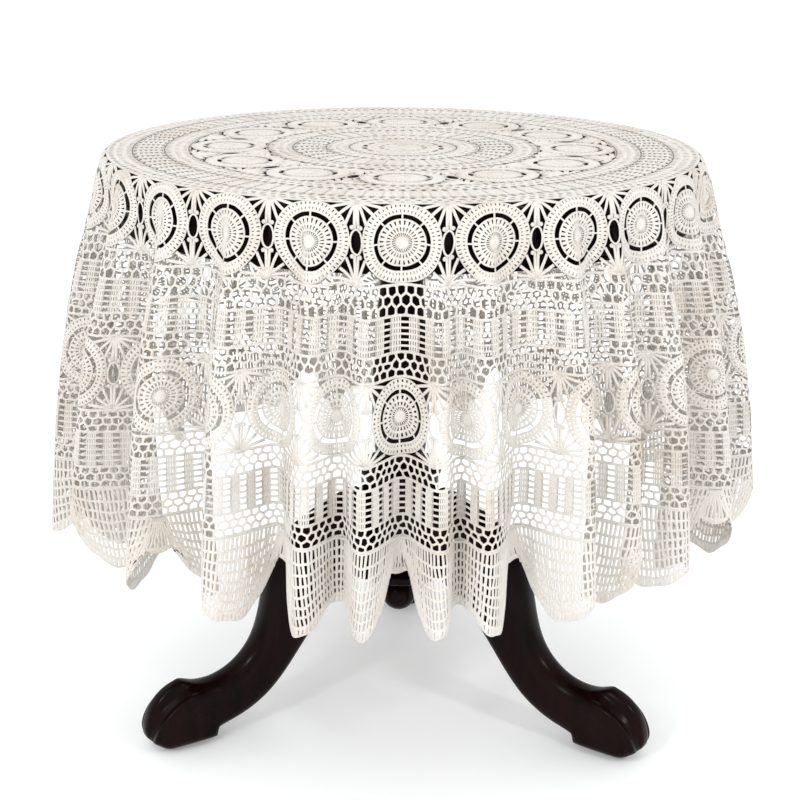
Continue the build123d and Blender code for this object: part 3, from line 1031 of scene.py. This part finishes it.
# ------------------------------------------------------------------ the table
@dataclass
class CarvedLeg:
    """One cabriole leg with a carved three-lobed foot, built along +X and turned to its place."""

    name: str
    angle: float
    stations: tuple[tuple[float, float, float, float, float], ...] = (
        # back x, back z, under x, under z, width
        (0.051, 0.318, 0.051, 0.199, 0.050),
        (0.078, 0.312, 0.064, 0.190, 0.053),
        (0.110, 0.298, 0.084, 0.178, 0.056),
        (0.142, 0.284, 0.098, 0.170, 0.058),
        (0.170, 0.263, 0.113, 0.160, 0.059),
        (0.189, 0.238, 0.125, 0.147, 0.059),
        (0.199, 0.208, 0.135, 0.133, 0.058),
        (0.204, 0.180, 0.144, 0.121, 0.056),
        (0.210, 0.151, 0.154, 0.108, 0.053),
        (0.219, 0.127, 0.165, 0.092, 0.050),
        (0.232, 0.109, 0.180, 0.072, 0.048),
        (0.248, 0.095, 0.198, 0.052, 0.047),
        (0.266, 0.086, 0.220, 0.036, 0.047),
        (0.284, 0.0815, 0.243, 0.025, 0.048),
        (0.302, 0.0825, 0.264, 0.019, 0.051),
    )
    foot: tuple[tuple[float, float, float, float, float], ...] = (
        (0.318, 0.0885, 0.2745, 0.016, 0.058),
        (0.324, 0.0885, 0.2785, 0.004, 0.062),
        (0.341, 0.0820, 0.2860, 0.004, 0.067),
        (0.3555, 0.0705, 0.3000, 0.004, 0.069),
        (0.3665, 0.0555, 0.3180, 0.004, 0.068),
        (0.3730, 0.0370, 0.3360, 0.004, 0.064),
        (0.3745, 0.0170, 0.3500, 0.004, 0.054),
    )
    around: int = 48

    def build(self, material: bpy.types.Material) -> bpy.types.Object:
        """Makes the leg.

        Args:
            material: The polished wood.

        Returns:
            The leg, standing for its node.
        """
        bm = bmesh.new()
        made = bmesh.ops.create_circle(bm, cap_ends=True, radius=1.0, segments=self.around)
        ring = made["verts"]
        self.shape_ring(ring, self.stations[0], 0.0)
        for row, station in enumerate(self.stations[1:] + self.foot):
            edges = list({e for v in ring for e in v.link_edges if all(o in ring for o in e.verts)})
            grown = bmesh.ops.extrude_edge_only(bm, edges=edges)
            ring = [g for g in grown["geom"] if isinstance(g, bmesh.types.BMVert)]
            into_foot = row - len(self.stations) + 1
            lobes = 0.0 if into_foot < 0 else min(1.0, 0.7 + 0.15 * into_foot)
            self.shape_ring(ring, station, lobes)
        closing = [e for v in ring for e in v.link_edges if all(o in ring for o in e.verts)]
        bmesh.ops.contextual_create(bm, geom=list(set(closing)))
        bmesh.ops.recalc_face_normals(bm, faces=bm.faces[:])
        crease = bm.edges.layers.float.new("crease_edge")
        knuckle = self.foot[1]
        for edge in bm.edges:
            middle = (edge.verts[0].co + edge.verts[1].co) / 2
            if middle.z < 0.0045:
                edge[crease] = 0.5
            on_ridge = all(
                abs((v.co.x - knuckle[0]) * 0.09 - (v.co.z - knuckle[1]) * 0.045) < 3e-4 for v in edge.verts
            )
            if on_ridge and middle.z > 0.04:
                edge[crease] = 0.85
            at_heel = all(0.265 < v.co.x < 0.283 and v.co.z < 0.024 for v in edge.verts)
            if at_heel:
                edge[crease] = 0.75
        bmesh.ops.rotate(bm, cent=(0, 0, 0), matrix=Matrix.Rotation(self.angle, 3, "Z"), verts=bm.verts[:])
        leg = new_object(f"carved_{self.name}", bm)
        smooth = leg.modifiers.new("smooth", "SUBSURF")
        smooth.levels = smooth.render_levels = 2
        apply_modifiers(leg)
        leg.data.materials.append(material)
        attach(leg, TABLE_BODY)
        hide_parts(self.name)
        return leg

    def shape_ring(self, ring: list[bmesh.types.BMVert], station: tuple[float, ...], lobes: float) -> None:
        """Moves a ring of points to a rounded section, with lobes and grooves over the toes.

        Args:
            ring: The points, in order round the section.
            station: The section's back, underside and width.
            lobes: How strongly the toes show, from 0 to 1.
        """
        top = Vector((station[0], 0, station[1]))
        under = Vector((station[2], 0, station[3]))
        middle, rise = (top + under) / 2, (top - under) / 2
        width = station[4] / 2
        for index, vert in enumerate(ring):
            turn = math.tau * index / self.around
            cross, up = math.cos(turn), math.sin(turn)
            power = 0.80 if up > 0 else 0.62
            cross = math.copysign(abs(cross) ** power, cross)
            up = math.copysign(abs(up) ** power, up)
            if lobes:
                wave = max(-1.0, min(1.0, 2.6 * math.cos((turn - math.pi / 2) * 5.6)))
                fade = min(1.0, max(0.0, math.sin(turn) * 1.6))
                scale = 1 + lobes * fade * (0.11 * wave - 0.06)
                cross, up = cross * scale, up * scale
                hollow = math.exp(-(((math.sin(turn) + 0.15) / 0.30) ** 2))
                cross *= 1 - 0.24 * hollow * math.exp(-(((station[0] - 0.331) / 0.014) ** 2))
            vert.co = middle + rise * up + Vector((0, width * cross, 0))


@dataclass
class TableWork:
    """Dresses the table's own pieces and carves its legs."""

    legs: tuple[str, ...] = ("leg_front_left", "leg_front_right", "leg_back")

    def leg_angle(self, name: str) -> float:
        """The direction of a leg from the column, read from its node's box.

        Args:
            name: The leg's node.

        Returns:
            The angle about +Z from +X.
        """
        mesh = frame["nodes"][name].data
        co = np.array([v.co[:] for v in mesh.vertices])
        low = co[co[:, 2] < FOOT_HEIGHT]
        return math.atan2(low[:, 1].mean(), low[:, 0].mean())

    def build(self) -> list[bpy.types.Object]:
        """Makes the legs and gives each wooden or metal node its finish.

        Returns:
            The new pieces.
        """
        dark, red = (0.0024, 0.0012, 0.0011), (0.0105, 0.0030, 0.0024)
        upright = Timber("ebonised_mahogany", dark, red, Polish.GLOSS).build()
        flat = Timber("ebonised_mahogany_top", dark, red, Polish.GLOSS, (5.0, 70.0, 70.0)).build()
        pale, tan = (0.22, 0.13, 0.07), (0.42, 0.29, 0.18)
        bare = Timber("bare_beech", pale, tan, Polish.BARE, (6.0, 60.0, 60.0)).build()
        steel = Hardware("screw_steel", (0.5, 0.49, 0.47), 1.0, 0.35).build()
        glide = Hardware("glide_nylon", (0.05, 0.045, 0.045), 0.0, 0.6).build()
        by_slot = {"dark_wood": upright, "inner_wood": bare, "screw_steel": steel, "glide": glide}
        flat_nodes = {"table_top", "drum_wall", "drum_bead"}
        for entry in frame["record"]["subparts"]:
            finish = by_slot.get(entry["material_slot"])
            if finish is None:
                continue
            thing = frame["nodes"][entry["node"]]
            thing.data.materials.clear()
            thing.data.materials.append(flat if entry["node"] in flat_nodes else finish)
        made = []
        for name in self.legs:
            made.append(CarvedLeg(name, self.leg_angle(name)).build(upright))
            LOG.info("%s carved", name)
        return made


# ------------------------------------------------------------------ the cloth
@dataclass
class Tablecloth:
    """The whole cloth: its drape, and its rounds from the centre to the hem."""

    drape: Drape = field(default_factory=Drape)

    def rounds(self) -> list[LaceRound]:
        """Lists the rounds in the order they are worked."""
        top = {"thread": 0.0024, "thickness": 0.0024, "edge_share": 0.5}
        close = {"thread": 0.0024, "thickness": 0.0021, "edge_share": 0.3}
        return [
            Rosette("lace_centre_rosette", 0.0, 0.066, "centre_rosette"),
            NetRound("lace_net_1", 0.0675, 0.098, "inner_net", rows=3, meshes=48, **top),
            FiletRound("lace_filet_1", 0.0985, 0.138, "inner_net", rows=6, ladders=36, **close),
            NetRound("lace_net_2", 0.1385, 0.1715, "inner_net", rows=3, meshes=84, **top),
            WheelRound("lace_wheels_inner", 0.173, 0.267, "inner_wheel_ring", wheels=12, radius=0.047, **top),
            JoinRound("lace_joins_inner", 0.173, 0.267, "inner_wheel_ring", wheels=12, radius=0.047, **top),
            NetRound("lace_net_3", 0.2685, 0.300, "outer_net", rows=3, meshes=160, **top),
            FiletRound("lace_filet_2", 0.3005, 0.338, "outer_net", rows=6, ladders=96, **close),
            NetRound("lace_net_4", 0.3385, 0.3695, "outer_net", rows=3, meshes=192, **top),
            WheelRound("lace_wheels_upper", 0.371, 0.460, "upper_wheel_ring", wheels=24, radius=0.0445),
            JoinRound("lace_joins_upper", 0.371, 0.460, "upper_wheel_ring", wheels=24, radius=0.0445),
            NetRound("lace_net_5", 0.4615, 0.4955, "upper_filet_band", rows=3, meshes=264),
            FiletRound("lace_filet_3", 0.496, 0.535, "upper_filet_band", rows=6, ladders=144),
            NetRound("lace_net_6", 0.5355, 0.563, "upper_filet_band", rows=3, meshes=300),
            WheelRound("lace_wheels_lower", 0.5645, 0.6515, "lower_wheel_ring", wheels=36, radius=0.0435,
                       stitches=48),
            JoinRound("lace_joins_lower", 0.5645, 0.6515, "lower_wheel_ring", wheels=36, radius=0.0435),
            NetRound("lace_net_7", 0.653, 0.6795, "lower_filet_band", rows=3, meshes=360),
            FiletRound("lace_filet_4", 0.680, 0.722, "lower_filet_band", rows=6, ladders=216),
            NetRound("lace_net_8", 0.7225, 0.749, "lower_filet_band", rows=3, meshes=400),
            ScallopRound("lace_scalloped_hem", 0.7505, 0.856, "scalloped_hem", thread=0.0015),
        ]

    def build(self) -> list[bpy.types.Object]:
        """Works and drapes every round.

        Returns:
            The lace pieces.
        """
        self.drape.settle()
        cotton = CrochetCotton().build()
        return [worked.dress(self.drape, cotton) for worked in self.rounds()]


# ------------------------------------------------------------------ the studio
@dataclass
class Studio:
    """The pale floor, soft lights and the camera."""

    eye: tuple[float, float, float] = (-0.0008, -2.1933, 1.1102)
    pitch: float = 17.38
    roll: float = 0.53
    lens: float = 78.08

    def build(self) -> None:
        """Sets the floor, lights, world and camera."""
        bm = bmesh.new()
        bmesh.ops.create_grid(bm, x_segments=1, y_segments=1, size=20.0)
        floor = new_object("floor", bm, smooth=False)
        floor.data.materials.append(Backdrop().build())
        self.light("key", (-1.6, -2.2, 2.9), 2.0, 20.0)
        self.light("fill", (2.4, -1.6, 2.2), 2.4, 6.0)
        self.light("back", (0.3, 2.6, 2.6), 2.2, 14.0)
        self.light("glint_left", (-1.1, -2.0, 1.5), 0.20, 10.0)
        self.light("glint_right", (1.5, -1.7, 1.7), 0.20, 10.0)
        world = bpy.data.worlds.new("studio")
        world.use_nodes = True
        world.node_tree.nodes["Background"].inputs["Color"].default_value = (1.0, 1.0, 1.0, 1.0)
        world.node_tree.nodes["Background"].inputs["Strength"].default_value = 1.0
        bpy.context.scene.world = world
        bpy.context.scene.view_settings.view_transform = "Standard"
        data = bpy.data.cameras.new("camera")
        data.lens = self.lens
        data.sensor_width = 36.0
        camera = bpy.data.objects.new("camera", data)
        tilt = Matrix.Rotation(math.radians(90 - self.pitch), 4, "X")
        level = Matrix.Rotation(math.radians(self.roll), 4, "Z")
        camera.matrix_world = Matrix.Translation(self.eye) @ (tilt @ level)
        bpy.context.scene.collection.objects.link(camera)
        bpy.context.scene.camera = camera

    @staticmethod
    def light(name: str, place: tuple[float, float, float], size: float, power: float) -> None:
        """Adds a square soft light that faces the table.

        Args:
            name: The light's name.
            place: Where it hangs.
            size: The side of its square.
            power: Its power in watts.
        """
        data = bpy.data.lights.new(name, "AREA")
        data.shape = "SQUARE"
        data.size = size
        data.energy = power
        lamp = bpy.data.objects.new(name, data)
        aim = Vector((0, 0, 0.45)) - Vector(place)
        lamp.matrix_world = Matrix.Translation(place) @ aim.to_track_quat("-Z", "Y").to_matrix().to_4x4()
        bpy.context.scene.collection.objects.link(lamp)


def main() -> None:
    """Builds the studio, the table and the cloth in order."""
    logging.basicConfig(level=logging.INFO, format="%(message)s", stream=sys.stdout)
    Studio().build()
    LOG.info("studio ready")
    TableWork().build()
    LOG.info("table ready")
    pieces = Tablecloth().build()
    LOG.info("cloth ready: %d rounds", len(pieces))


if __name__ == "__main__":
    main()
